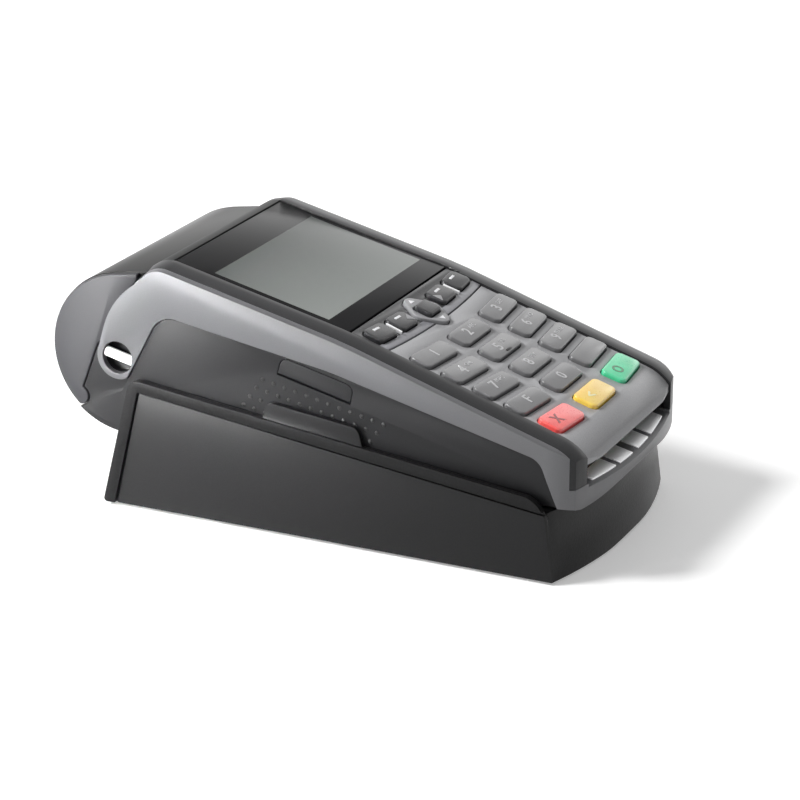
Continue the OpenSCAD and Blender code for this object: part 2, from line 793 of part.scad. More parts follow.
// Outline of the port cover, let out by d, from the given lower edge up
module cover_form(d, low) {
    r = cover_r + d;
    top = cover_h / 2 + d;
    half = cover_l / 2 + d;
    translate([-half, low]) square([2 * half, top - r - low]);
    translate([r - half, low]) square([2 * (half - r), top - low]);
    for (s = [-1, 1])
        translate([s * (half - r), top - r]) circle(r = r, $fn = 32);
}
module port_cover() {
    color("dimgray")
    on_display()
        translate([cover_t / 2 - low_hw, cover_s, -cover_drop]) {
            along_x(cover_t) cover_form(0, -cover_h / 2);
            translate([0, cover_l / 2, -cover_h / 2])
                rotate([90, 0, 0]) cylinder(d = cover_t, h = cover_l, $fn = 32);
        }
}
module battery_pack() {
    color("black")
    box(battery_w / 2 * [-1, 1], battery_y, [term_z + wall, term_z + wall + battery_h]);
}
module battery_door() {
    color("dimgray")
    box(door_w / 2 * [-1, 1], door_y, [term_z, term_z + wall - fit_gap]);
}
module card_reader() {
    color("ivory")
    difference() {
        box(reader_w / 2 * [-1, 1], [reader_front, reader_front + reader_l],
            [term_z + wall, term_z + wall + reader_h]);
        box(card_hw * [-1, 1], [reader_front - 1, reader_front + card_l], [slot_z + 0.2, slot_z + 1.6]);
    }
}
module card_contacts() {
    color("gold")
    for (i = [0:3], j = [0, 1])
        translate([i * 2.54 - 4.4, reader_front + 18 + j * 8, slot_z + 1.1]) cube([1.2, 4, 0.5]);
}
module card_guides() {
    color("lightgray")
    intersection() {
        for (i = [0, 2])
            side_slab(lip_pads[i], lip_pads[i + 1]) lip_slope(0, lip_pad_t);
        inner_form(1.4, term_w);
    }
}
module dock_contacts() {
    color("gold")
    for (x = contact_x) {
        box([x, x] + dock_hw * [-1, 1], [contact_y, contact_y] + dock_hd * [-1, 1],
            [term_z + run_gap, term_z + wall + 0.5]);
        box([x, x] + (dock_hw + dock_edge) * [-1, 1], [contact_y, contact_y] + (dock_hd + dock_edge) * [-1, 1],
            [term_z + wall, term_z + wall + 0.5]);
    }
}
module housing_screws() {
    color("silver")
    at_corners(screw_x, screw_y, term_z + 0.4) {
        cylinder(r = head_r, h = 1.8, $fn = 32);
        cylinder(r = screw_r, h = screw_l, $fn = 32);
    }
}

// Keypad

module key_at(col, y) {
    on_keypad()
        translate([0, y - smile_sag / 2 + smile_r, 0])
            rotate(col * smile_a)
                translate([0, -smile_r, 0]) children();
}
module function_at(x) {
    on_keypad()
        translate([0, function_y + smile_r, 0])
            rotate(asin(x / smile_r))
                translate([0, -smile_r, 0]) children();
}
module slab(z0, z1) {
    translate([0, 0, z0]) linear_extrude(z1 - z0) children();
}
// A key cap with its holding flange under the plate and its stem
module plunger(w, d, r, top, under) {
    flange = -under - 0.15;
    slab(flange - flange_t, top) round_rect(w, d, r);
    slab(flange - flange_t, flange) round_rect(w + 2 * flange_edge, d + 2 * flange_edge, r);
    translate([0, 0, -stem_drop]) cylinder(r = 1.2, h = stem_drop - under - 0.2, $fn = 32);
}
module key_hole(w, d, r) {
    slab(-10, 10) round_rect(w + 2 * slide_gap, d + 2 * slide_gap, r + slide_gap);
}
grey_names = ["key_1", "key_2", "key_3", "key_4", "key_5", "key_6", "key_7", "key_8", "key_9",
    "key_f", "key_0", "key_point"];
colour_names = ["key_red", "key_yellow", "key_green"];
colour_tints = ["firebrick", "gold", "limegreen"];
function_names = ["key_f1", "key_f2", "key_f3", "key_f4"];
key_r = 1.8;
function_top = key_rise - plate_drop + 0.2;
module grey_key(i) {
    color("gray")
    key_at(i % 3 - 1, row_y[floor(i / 3)]) plunger(key_w, key_d, key_r, key_rise - plate_drop, plate_under);
}
module colour_key(i) {
    color(colour_tints[i])
    key_at(i - 1, colour_y) plunger(colour_w, colour_d, key_r, key_rise - plate_drop, plate_under);
}
module function_key(i) {
    color("dimgray")
    function_at(function_x[i])
        plunger(function_w, function_d, key_r, function_top, function_drop + function_t);
}
module key_plate() {
    color("silver")
    union() {
        difference() {
            intersection() {
                inner_form(plate_drop, 2 * plate_hw, plate_corner_r);
                box([-100, 100], [-100, 0], [slot_z + slot_h, 100]);
            }
            inner_form(plate_under, term_w);
            on_keypad()
                translate([0, plate_rear_y + smile_r, -20]) cylinder(r = smile_r, h = 40, $fn = 200);
            for (i = [0:11])
                key_at(i % 3 - 1, row_y[floor(i / 3)]) key_hole(key_w, key_d, key_r);
            for (i = [0:2])
                key_at(i - 1, colour_y) key_hole(colour_w, colour_d, key_r);
            at_rocker() slab(-10, 10) strap(diamond, -slide_gap);
        }
        on_keypad()
            for (x = [-0.5, 0.5], y = [0, -2 * row_pitch])
                translate([x * col_pitch, y, -board_drop])
                    cylinder(r = 0.9, h = board_drop - plate_drop - 0.5, $fn = 24);
    }
}
diamond = [[0, rocker_tip_r - rocker_d / 2, rocker_tip_r], [rocker_w / 2 - rocker_tip_r, 0, rocker_tip_r],
    [0, rocker_d / 2 - rocker_tip_r, rocker_tip_r], [rocker_tip_r - rocker_w / 2, 0, rocker_tip_r]];
rocker_axis = -1.2;
trunnion_r = 0.5;
module at_rocker() {
    on_keypad() translate([0, rocker_y, 0]) children();
}
module trunnions(r, reach) {
    translate([-reach, 0, rocker_axis]) rotate([0, 90, 0]) cylinder(r = r, h = 2 * reach, $fn = 24);
}
module function_plate() {
    color("dimgray")
    difference() {
        on_keypad()
            intersection() {
                box(plate_hw * [-1, 1], [0, function_rear_y],
                    [-function_drop - function_t, -function_drop]);
                translate([0, plate_rear_y + seam_gap + smile_r, -20])
                    cylinder(r = smile_r, h = 40, $fn = 200);
            }
        for (x = function_x)
            function_at(x) key_hole(function_w, function_d, key_r);
        at_rocker() {
            slab(-10, 10) strap(diamond, -slide_gap);
            trunnions(trunnion_r + run_gap, rocker_w / 2 + 1);
        }
    }
}
module scroll_rocker() {
    color("gray")
    at_rocker()
        difference() {
            union() {
                slab(-2, 0.35) strap(diamond);
                trunnions(trunnion_r, rocker_w / 2 + 0.9);
            }
            key_hole(menu_w, menu_d, 1);
        }
}
module menu_key() {
    color("dimgray")
    at_rocker() plunger(menu_w, menu_d, 1, 1.5, function_drop + function_t + 0.4);
}
module keypad_board() {
    color("darkgreen")
    on_keypad() box(board_hw * [-1, 1], [colour_y - 1.9, function_y + 4], [-board_drop - board_t, -board_drop]);
}
module key_dome() {
    translate([0, 0, -board_drop]) cylinder(r = 2.4, h = dome_h, $fn = 32);
}
module key_domes() {
    color("silver")
    union() {
        for (i = [0:11])
            key_at(i % 3 - 1, row_y[floor(i / 3)]) key_dome();
        for (i = [0:2])
            key_at(i - 1, colour_y) key_dome();
        for (x = function_x)
            function_at(x) key_dome();
        at_rocker() key_dome();
    }
}

// Printer

module printer_frame() {
    foot = [door_y[1] + 1, drum_y - drum_r - 1.4];
    beam_rear = head_rear - head_t;
    beam_front = beam_rear - beam_t;
    beam_z = [platen_at[1] - head_low, platen_at[1] + head_high];
    seat = term_z + wall;
    color("gainsboro")
    difference() {
        union() {
            side_slab(arm_x, arm_x + arm_t)
                polygon([[foot[0], seat], [foot[1], seat], [foot[1], platen_at[1] - 13],
                    [beam_front - 1, platen_at[1] - 6], [beam_rear, beam_z[0]],
                    [beam_rear, beam_z[1]], [beam_front, beam_z[1]], [foot[0], platen_at[1] - 3.5]]);
            box((arm_x + 0.5) * [-1, 1], [beam_front, beam_rear], beam_z);
            rod(idler_at, axle_r, arm_x, gear_x + gear_w + 0.3);
        }
        rod(pinion_at, axle_r + 0.2, 0, gear_x + 1);
    }
}
module print_head() {
    color("whitesmoke")
    box(head_hl * [-1, 1], [head_rear - head_t, head_rear],
        [platen_at[1] - head_low, platen_at[1] + head_high]);
}
module drive_motor() {
    color("silver")
    difference() {
        rod(pinion_at, motor_r, arm_x - motor_l, arm_x);
        rod(pinion_at, axle_r + run_gap, arm_x - 4, arm_x + 1);
    }
}
module motor_pinion() {
    color("white")
    union() {
        gear(pinion_at, pinion_n, pinion_a - 180 + 180 / pinion_n);
        rod(pinion_at, axle_r, arm_x - 3.6, gear_x + gear_w);
    }
}
module idler_gear() {
    color("white")
    difference() {
        gear(idler_at, idler_n, pinion_a);
        rod(idler_at, axle_r + run_gap, 0, hw);
    }
}
module platen_shaft() {
    color("silver")
    union() {
        gear(platen_at, platen_n, idler_a);
        rod(platen_at, shaft_r, -arm_x - arm_t - 0.8, gear_x + gear_w);
    }
}
module platen_roller() {
    color("black")
    difference() {
        rod(platen_at, platen_d / 2, -platen_hl, platen_hl);
        rod(platen_at, shaft_r + 0.02, -hw, hw);
    }
}
module paper_roll() {
    color("white")
    difference() {
        rod(roll_at, roll_r, -roll_w / 2, roll_w / 2);
        rod(roll_at, core_r, -hw, hw);
    }
}
module lid_section() {
    intersection() {
        difference() {
            strap([drum, nose]);
            strap([drum, nose], wall);
        }
        polygon([pin_at, hinge_out, [drum_y + 40, drum_z], [drum_y + 40, drum_z + 40],
            [nose[0] - nose[2], drum_z + 40], [nose[0] - nose[2], nose[1] - 1.7], [nose[0] + 6, nose[1] - 3.2],
            [drum_y + 8, drum_z + 6]]);
    }
}
module lid_shell() {
    inner_hw = drum_hw - cheek_t;
    color("dimgray")
    difference() {
        union() {
            difference() {
                along_x(2 * inner_hw) lid_section();
                rod(pin_at, relief_r, knuckle_w / 2, hw);
                rod(pin_at, relief_r, -hw, -knuckle_w / 2);
            }
            rod(pin_at, knuckle_r, -knuckle_w / 2, knuckle_w / 2);
            side_slab(arm_x, arm_x + arm_t)
                strap([[platen_at[0], platen_at[1], arm_eye_r],
                    [arm_root[0], arm_root[1], arm_root_r]]);
        }
        rod(pin_at, pin_d / 2 + run_gap, -hw, hw);
        rod(platen_at, shaft_r + run_gap, -hw, hw);
        rod(platen_at, gear_m * (platen_n / 2 + 1) + slide_gap, gear_x - slide_gap, gear_x + gear_w + slide_gap);
    }
}
module lid_cheeks() {
    shift = [0.4, 0.3];
    color("gray")
    side_slab(drum_hw - cheek_t, drum_hw)
        intersection() {
            strap([drum, nose], cheek_lap);
            union() {
                polygon([seam_low + shift, [drum_y + 40, seam_low[1]], [drum_y + 40, drum_z + 40],
                    [seam_nose[0], drum_z + 40], seam_nose + shift, seam_top + shift, seam_mid + shift]);
                translate(pin_at) circle(r = cheek_eye_r, $fn = 48);
            }
        }
}
module lid_hinge_pin() {
    color("silver")
    rod(pin_at, pin_d / 2, 1 + cheek_t - drum_hw, drum_hw - cheek_t - 1);
}

base_shell();
base_floor();
base_feet();
base_screws();
base_board();
contact_block();
contact_pins();
power_socket();
lower_housing();
upper_housing();
side_trim();
strap_bars();
display_window();
lcd_module();
function_plate();
key_plate();
keypad_board();
key_domes();
main_board();
battery_pack();
battery_door();
card_reader();
card_contacts();
card_guides();
dock_contacts();
service_socket();
port_cover();
housing_screws();
printer_frame();
print_head();
drive_motor();
motor_pinion();
idler_gear();
platen_roller();
platen_shaft();
paper_roll();
lid_shell();
lid_cheeks();
lid_hinge_pin();
scroll_rocker();
menu_key();
for (i = [0:11])
    grey_key(i);
for (i = [0:2])
    colour_key(i);
for (i = [0:3])
    function_key(i);
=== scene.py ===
# %% [markdown]
# # A card terminal standing in its charging base
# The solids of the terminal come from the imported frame: every shell, key, gear and screw is already there at
# its real size. This lesson dresses them. Each solid that shows gets soft edges and a moulded finish, and the
# small things that a solid doesn't carry, such as digits and grip dots, are modelled on top of it.

# %% Load the frame
import json
import math

import bmesh
import bpy
from mathutils import Matrix, Vector


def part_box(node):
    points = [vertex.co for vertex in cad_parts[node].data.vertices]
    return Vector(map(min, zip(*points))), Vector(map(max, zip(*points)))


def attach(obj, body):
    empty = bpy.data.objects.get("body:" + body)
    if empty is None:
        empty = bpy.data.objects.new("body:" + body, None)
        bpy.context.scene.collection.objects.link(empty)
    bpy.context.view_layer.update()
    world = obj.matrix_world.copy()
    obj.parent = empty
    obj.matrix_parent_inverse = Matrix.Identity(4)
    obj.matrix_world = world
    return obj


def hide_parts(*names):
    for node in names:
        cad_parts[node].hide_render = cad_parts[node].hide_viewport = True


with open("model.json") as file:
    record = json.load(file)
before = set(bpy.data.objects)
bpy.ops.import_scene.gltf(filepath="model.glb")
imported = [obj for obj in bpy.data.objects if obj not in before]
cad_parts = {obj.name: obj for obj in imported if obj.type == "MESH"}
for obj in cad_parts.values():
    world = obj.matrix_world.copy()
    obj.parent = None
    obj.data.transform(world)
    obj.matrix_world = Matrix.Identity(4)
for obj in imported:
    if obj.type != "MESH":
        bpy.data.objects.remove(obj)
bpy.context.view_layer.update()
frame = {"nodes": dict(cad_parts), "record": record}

mm = 0.001

# %% [markdown]
# ## The planes of the terminal
# The keypad slopes 18 degrees and the display 13.6 degrees, and they meet at the crest. A matrix for the keypad
# lets every key, digit and mark be placed in flat plan sizes, with x across, y towards the printer and z out of
# the plane. Each row of keys bends on a wide radius, so a place on a row also swings round that radius.

# %% Places on the keypad
KEYPAD_TILT, DISPLAY_TILT = math.radians(18), math.radians(13.6)
CREST = Vector((0, -10, 58.3)) * mm
KEYPAD_MIDDLE_Y = -43.5 * mm
KEYPAD_DROP = (CREST.y - KEYPAD_MIDDLE_Y) * math.tan(KEYPAD_TILT)
KEYPAD_ORIGIN = Vector((0, KEYPAD_MIDDLE_Y, CREST.z - KEYPAD_DROP))
keypad_plane = Matrix.Translation(KEYPAD_ORIGIN) @ Matrix.Rotation(KEYPAD_TILT, 4, "X")
ROW_RADIUS, COLUMN_PITCH, ROW_PITCH = 269 * mm, 21.5 * mm, 9.56 * mm
ROW_SAG = ROW_RADIUS - math.sqrt(ROW_RADIUS ** 2 - COLUMN_PITCH ** 2)


def on_row(x, y, z):
    """Place on the keypad at x across, on the bent row that crosses the middle at y."""
    swing = Matrix.Rotation(math.asin(x / ROW_RADIUS), 4, "Z")
    return (keypad_plane @ Matrix.Translation((0, y + ROW_RADIUS, 0)) @ swing
            @ Matrix.Translation((0, -ROW_RADIUS, z)))


def row_y(row):
    """Where one of the four grey rows crosses the middle, counted from the display."""
    return (1.5 - row) * ROW_PITCH - ROW_SAG / 2


print("keypad origin in mm:", [round(c / mm, 2) for c in KEYPAD_ORIGIN])

# %% [markdown]
# ## Soft edges on the solids
# A moulded part has no knife edges: the tool leaves a small radius that catches the light as a thin line. A
# Bevel modifier on the solid could draw it, but a solid arrives as loose triangles, which such a bevel breaks
# up. So a copy of the solid is merged, and its flat triangles are dissolved into whole faces.

# %% Copy a solid and name a piece
BODY_OF = {n: b for b, ns in frame["record"]["behaviour"]["bodies"].items() for n in ns}
MERGE_DISTANCE, FLAT_ANGLE = 0.002 * mm, math.radians(0.4)


def merged_copy(node):
    """A bmesh copy of a solid, with its triangles joined into whole faces."""
    bm = bmesh.new()
    bm.from_mesh(frame["nodes"][node].data)
    bmesh.ops.remove_doubles(bm, verts=bm.verts, dist=MERGE_DISTANCE)
    bmesh.ops.dissolve_limit(bm, angle_limit=FLAT_ANGLE, verts=bm.verts, edges=bm.edges)
    return bm


def piece(bm, name, body, finish, smooth=35):
    """Turns a bmesh into a named piece that rides on a body; edges under smooth degrees are shaded soft."""
    mesh = bpy.data.meshes.new(name)
    bm.to_mesh(mesh)
    bm.free()
    mesh.shade_smooth()
    mesh.set_sharp_from_angle(angle=math.radians(smooth))
    mesh.materials.append(finish)
    obj = bpy.data.objects.new(name, mesh)
    bpy.context.scene.collection.objects.link(obj)
    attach(obj, body)
    return obj


# %% [markdown]
# On the merged copy only the edges that turn sharply are bevelled, so the facets of round walls stay as they
# are. If a bevel strays outside the solid's own box, it is made again with clamped widths.

# %% Round the edges of a solid
SHARP_DEGREES, STRAY_LIMIT = 28, 0.02 * mm


def round_edges(bm, edges, radius, segments, clamp):
    """Bevels edges to a radius in mm."""
    bmesh.ops.bevel(bm, geom=edges, offset=radius * mm, offset_type="OFFSET", segments=segments, profile=0.5,
                    affect="EDGES", clamp_overlap=clamp, material=-1)


def strays(bm, node):
    """How far a bmesh reaches outside the box of its solid."""
    low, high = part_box(node)
    return max(max(low[i] - v.co[i], v.co[i] - high[i]) for v in bm.verts for i in range(3))


def soften(node, finish, radius, segments=2):
    """A copy of a solid with rounded edges, which stands for the solid."""
    sharp = math.radians(SHARP_DEGREES)
    for clamp in (False, True):
        bm = merged_copy(node)
        edges = [e for e in bm.edges if len(e.link_faces) == 2 and e.calc_face_angle(0) > sharp]
        round_edges(bm, edges, radius, segments, clamp)
        if strays(bm, node) < STRAY_LIMIT:
            break
    obj = piece(bm, node + "_soft", BODY_OF[node], finish)
    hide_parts(node)
    print(node, "edges", len(edges), "faces", len(obj.data.polygons), "clamped" if clamp else "free")


def paint(node, finish):
    """Gives a solid that keeps its own shape a finish."""
    mesh = frame["nodes"][node].data
    mesh.materials.clear()
    mesh.materials.append(finish)


print("edges that turn more than", SHARP_DEGREES, "degrees are rounded")

# %% [markdown]
# ## Finishes
# Nearly every surface here is injection-moulded plastic, and what tells the parts apart is their grain: the
# shells are finely sparked, the window is polished, the keys are satin under a thin clear coat. An image of each
# grain could be wrapped on, but noise in the shader needs no unwrapping. All patterns read Object coordinates
# in metres, so a grain size is a real size. A few helpers keep the node trees short.

# %% Helpers that add and join nodes
def start_material(name):
    material = bpy.data.materials.new(name)
    material.use_nodes = True
    tree = material.node_tree
    return material, tree, tree.nodes["Principled BSDF"]


def set_sockets(node, **values):
    """Sets constants on a node's own sockets; an underscore in a name stands for a space."""
    for key, value in values.items():
        node.inputs[key.replace("_", " ")].default_value = value


def feed(tree, node, **sources):
    """Links outputs to the sockets of a node, named in the same way."""
    for key, source in sources.items():
        tree.links.new(source, node.inputs[key.replace("_", " ")])


def add(tree, kind, **values):
    """Adds a node; a value is one of its properties, or else a constant on the socket of that name."""
    node = tree.nodes.new(kind)
    for key, value in values.items():
        if hasattr(node, key):
            setattr(node, key, value)
        else:
            set_sockets(node, **{key: value})
    return node


def math_node(tree, operation, *values):
    """A Math node of numbers and outputs."""
    node = add(tree, "ShaderNodeMath", operation=operation)
    for socket, value in zip(node.inputs, values):
        if isinstance(value, (int, float)):
            socket.default_value = value
        else:
            tree.links.new(value, socket)
    return node.outputs[0]


print("node helpers ready for", bpy.app.version_string)

# %% [markdown]
# A pattern starts from a place. Some finishes need the object's own axes, and some the axes of a tilted plane,
# which a Mapping node of type Texture gives. Two masks here are arcs, so the distance from an axis has a helper.

# %% Helpers for places
def object_coords(tree):
    return add(tree, "ShaderNodeTexCoord").outputs["Object"]


def plane_coords(tree, origin, tilt):
    """Object coordinates in a plane that is tilted about x."""
    plane = add(tree, "ShaderNodeMapping", vector_type="TEXTURE", Location=origin, Rotation=(tilt, 0, 0))
    feed(tree, plane, Vector=object_coords(tree))
    return plane.outputs["Vector"]


def axes(tree, vector):
    split = add(tree, "ShaderNodeSeparateXYZ")
    feed(tree, split, Vector=vector)
    return split.outputs["X"], split.outputs["Y"], split.outputs["Z"]


def reach(tree, a, b):
    """Distance of the point (a, b) from zero."""
    squares = [math_node(tree, "MULTIPLY", value, value) for value in (a, b)]
    return math_node(tree, "SQRT", math_node(tree, "ADD", *squares))


print("the display plane starts at", [round(c / mm, 1) for c in CREST], "mm")

# %% [markdown]
# Noise drives nearly all colour and sheen. It gathers round 0.5, so it is stretched before it mixes two colours.

# %% Helpers for noise, ranges and colours
NOISE_LOW, NOISE_HIGH = 0.3, 0.7
MIX_A, MIX_B, MIX_RESULT = 6, 7, 2


def noise(tree, size_mm, detail=3.0, stretch=(1, 1, 1)):
    """Noise whose features are about size_mm across."""
    mapping = add(tree, "ShaderNodeMapping", Scale=stretch)
    feed(tree, mapping, Vector=object_coords(tree))
    node = add(tree, "ShaderNodeTexNoise", Scale=1 / (size_mm * mm), Detail=detail, Roughness=0.55)
    feed(tree, node, Vector=mapping.outputs["Vector"])
    return node.outputs["Fac"]


def spread(tree, value, low, high):
    """Maps a noise around 0.5 to a range."""
    node = add(tree, "ShaderNodeMapRange", From_Min=NOISE_LOW, From_Max=NOISE_HIGH, To_Min=low, To_Max=high)
    feed(tree, node, Value=value)
    return node.outputs["Result"]


def blend_colours(tree, fac, first, second):
    """Mixes two colours, each a plain one or an output."""
    node = add(tree, "ShaderNodeMix", data_type="RGBA")
    feed(tree, node, Factor=fac)
    for socket, value in ((node.inputs[MIX_A], first), (node.inputs[MIX_B], second)):
        if isinstance(value, tuple):
            socket.default_value = (*value, 1)
        else:
            tree.links.new(value, socket)
    return node.outputs[MIX_RESULT]


def shade(colour, factor):
    return tuple(min(1.0, c * factor) for c in colour)


def lift(tree, shader, height, strength, relief):
    """Raises the surface by a pattern, relief mm high."""
    bump = add(tree, "ShaderNodeBump", Strength=strength, Distance=relief * mm)
    feed(tree, bump, Height=height)
    feed(tree, shader, Normal=bump.outputs["Normal"])


print("a grain of 0.35 mm is a noise of scale", round(1 / (0.35 * mm)))

# %% [markdown]
# One function builds the family of moulded plastics. A fine noise speckles the colour and lifts the surface,
# and a broad one lets the sheen drift a little, as it does on real mouldings. The drift stays small, because on
# a glossy part it would show as blotches.

# %% Moulded plastic
SHEEN_PATCH, COAT_ROUGHNESS = 18, 0.12


def moulded(name, colour, rough, speckle, grain, relief, drift=0.015, coat=0.0, metallic=0.0, specular=0.5):
    """Plastic with a grain and a relief in mm; speckle and drift are shares of colour and roughness."""
    material, tree, shader = start_material(name)
    fine, broad = noise(tree, grain, detail=4), noise(tree, SHEEN_PATCH, detail=2)
    dark, light = shade(colour, 1 - speckle), shade(colour, 1 + speckle)
    feed(tree, shader, Base_Color=blend_colours(tree, spread(tree, fine, 0, 1), dark, light),
         Roughness=spread(tree, broad, rough - drift, rough + drift))
    lift(tree, shader, fine, strength=0.6, relief=relief)
    set_sockets(shader, Coat_Weight=coat, Coat_Roughness=COAT_ROUGHNESS, Metallic=metallic,
                Specular_IOR_Level=specular)
    return material


graphite = moulded("graphite_housing", (0.014, 0.014, 0.015), rough=0.46, speckle=0.08, grain=0.4,
                   relief=0.015, specular=0.20)
graphite_gloss = moulded("graphite_lid", (0.008, 0.0078, 0.0076), rough=0.30, speckle=0.06, grain=0.5,
                         relief=0.006, drift=0.004, specular=0.10)
silver = moulded("silver_trim", (0.104, 0.104, 0.109), rough=0.34, speckle=0.05, grain=0.22,
                 relief=0.006, drift=0.010, metallic=0.35)
cheek_grey = moulded("cheek_grey", (0.024, 0.024, 0.027), rough=0.46, speckle=0.05, grain=0.3,
                     relief=0.006, drift=0.010, specular=0.3)
black_plastic = moulded("black_plastic", (0.014, 0.014, 0.014), rough=0.5, speckle=0.10, grain=0.4, relief=0.012)
white_plastic = moulded("white_plastic", (0.72, 0.72, 0.71), rough=0.45, speckle=0.03, grain=0.4, relief=0.006)
bright_bar = moulded("bright_bar", (0.86, 0.86, 0.86), rough=0.30, speckle=0.02, grain=0.4, relief=0.004, coat=0.2)
pad_silver = moulded("pad_silver", (0.95, 0.95, 0.96), rough=0.42, speckle=0.04, grain=0.3,
                     relief=0.004, drift=0.008, metallic=0.6)
rubber = moulded("rubber", (0.018, 0.018, 0.018), rough=0.75, speckle=0.12, grain=0.5, relief=0.03)
print("moulded finishes:", len(bpy.data.materials))

# %% [markdown]
# The key plate is painted a speckled silver, the number keys are a darker grey, and the function keys are nearly
# black and glossy. Digits and marks are raised in paler plastics of the same family.

# %% Finishes of the keys
key_plate_grey = moulded("key_plate_grey", (0.35, 0.35, 0.36), rough=0.26, speckle=0.12, grain=0.22,
                         relief=0.010, drift=0.006, specular=0.16)
key_grey = moulded("key_grey", (0.135, 0.135, 0.139), rough=0.26, speckle=0.06, grain=0.3, relief=0.006, coat=0.5)
function_gloss = moulded("function_key_gloss", (0.026, 0.026, 0.028), rough=0.24, speckle=0.05, grain=0.5,
                         relief=0.004, coat=0.15, specular=0.3)
rocker_grey = moulded("rocker_grey", (0.28, 0.28, 0.29), rough=0.38, speckle=0.05, grain=0.3, relief=0.006)
digit_pale = moulded("digit_pale", (0.50, 0.50, 0.51), rough=0.40, speckle=0.04, grain=0.3, relief=0.004)
mark_white = moulded("mark_white", (0.84, 0.84, 0.86), rough=0.40, speckle=0.03, grain=0.3, relief=0.003)
print("finishes so far:", len(bpy.data.materials))

# %% [markdown]
# The three coloured keys are cast in a tinted plastic with a clear coat. A little subsurface scattering gives
# them the lit-from-inside look of tinted keys, and a slow noise keeps the tint from being one flat colour.

# %% Tinted keys
TINT_PATCH, TINT_GRAIN, GLOW_DEPTH = 4, 0.5, 0.8 * mm


def tinted(name, colour, deep):
    """Tinted plastic that wanders between a colour and a deeper one."""
    material, tree, shader = start_material(name)
    patches = spread(tree, noise(tree, TINT_PATCH, detail=2), 0, 1)
    feed(tree, shader, Base_Color=blend_colours(tree, patches, deep, colour),
         Roughness=spread(tree, noise(tree, TINT_GRAIN), 0.26, 0.34))
    set_sockets(shader, Subsurface_Weight=0.15, Subsurface_Scale=GLOW_DEPTH, Coat_Weight=0.8, Coat_Roughness=0.15)
    return material


red_tint = tinted("red_key_tint", (0.95, 0.120, 0.110), (0.86, 0.080, 0.075))
yellow_tint = tinted("yellow_key_tint", (0.95, 0.66, 0.100), (0.90, 0.58, 0.065))
green_tint = tinted("green_key_tint", (0.080, 0.68, 0.35), (0.055, 0.58, 0.28))
red_mark = tinted("red_key_mark", (0.26, 0.010, 0.012), (0.22, 0.008, 0.010))
yellow_mark = tinted("yellow_key_mark", (0.95, 0.86, 0.50), (0.90, 0.80, 0.42))
green_mark = tinted("green_key_mark", (0.010, 0.20, 0.070), (0.008, 0.16, 0.055))
print("finishes so far:", len(bpy.data.materials))

# %% [markdown]
# Inside the printer and under the base there are metal and circuit boards. Steel is drawn out along the shafts,
# so its noise is stretched along x. A Brick texture gives the boards paler tracks between green fields.

# %% Metal and circuit board
LINE_WIDTH, LINE_STRETCH, LINE_DRIFT = 0.25, (0.04, 1, 1), 0.06
TRACK_FIELD = 6 * mm


def drawn_metal(name, colour, rough):
    """Metal with fine lines along x."""
    material, tree, shader = start_material(name)
    lines = noise(tree, LINE_WIDTH, detail=2, stretch=LINE_STRETCH)
    dark, light = shade(colour, 0.86), shade(colour, 1.08)
    feed(tree, shader, Base_Color=blend_colours(tree, spread(tree, lines, 0, 1), dark, light),
         Roughness=spread(tree, lines, rough - LINE_DRIFT, rough + LINE_DRIFT))
    set_sockets(shader, Metallic=1.0)
    return material


def circuit_board():
    material, tree, shader = start_material("circuit_board")
    tracks = add(tree, "ShaderNodeTexBrick", Scale=1 / TRACK_FIELD, offset=0.37, Color1=(0.010, 0.085, 0.035, 1),
                 Color2=(0.014, 0.11, 0.045, 1), Mortar=(0.030, 0.19, 0.085, 1))
    feed(tree, tracks, Vector=object_coords(tree))
    feed(tree, shader, Base_Color=tracks.outputs["Color"],
         Roughness=spread(tree, noise(tree, size_mm=2), 0.32, 0.42))
    return material


steel = drawn_metal("drawn_steel", (0.58, 0.58, 0.59), 0.30)
gilt = drawn_metal("gilt_contact", (0.83, 0.62, 0.28), 0.26)
board_green = circuit_board()
print("finishes so far:", len(bpy.data.materials))

# %% [markdown]
# The receipt paper is wound up, and the edges of its turns show as thin rings on the roll's ends. A sine of the
# distance from the roll's axis draws them, so they stay round whatever the mesh looks like.

# %% Wound paper
PAPER_TURN = 0.45 * mm


def wound_paper(axis_y, axis_z):
    """Paper wound round an axis along x."""
    material, tree, shader = start_material("wound_paper")
    _, y, z = axes(tree, object_coords(tree))
    radius = reach(tree, math_node(tree, "SUBTRACT", y, axis_y), math_node(tree, "SUBTRACT", z, axis_z))
    turns = math_node(tree, "SINE", math_node(tree, "MULTIPLY", radius, 2 * math.pi / PAPER_TURN))
    rings = math_node(tree, "ADD", math_node(tree, "MULTIPLY", turns, 0.5), 0.5)
    feed(tree, shader, Base_Color=blend_colours(tree, rings, (0.74, 0.73, 0.70), (0.86, 0.86, 0.84)),
         Roughness=spread(tree, noise(tree, size_mm=0.6), 0.78, 0.90))
    return material


roll_low, roll_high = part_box("paper_roll")
paper = wound_paper((roll_low.y + roll_high.y) / 2, (roll_low.z + roll_high.z) / 2)
print("paper roll across, in mm:", round((roll_high.z - roll_low.z) / mm, 1))

# %% [markdown]
# ## The display window
# The window is one polished panel, black from behind, with a clear area over the LCD. The LCD could be a second
# pane under glass, but drawing it as a mask in the window's own finish keeps the polish unbroken over both. In
# the display's plane the mask is a plain rectangle. Both tones darken from front to rear: this is a painted
# reflection, not a change in the panel. A faint checker stands for the LCD's dots.

# %% Window finish with the LCD area
LCD_HALF_WIDTH, LCD_NEAR, LCD_FAR = 29.1 * mm, 8.4 * mm, 44.0 * mm
LCD_DOT, LCD_DOT_STRENGTH = 0.45 * mm, 0.06


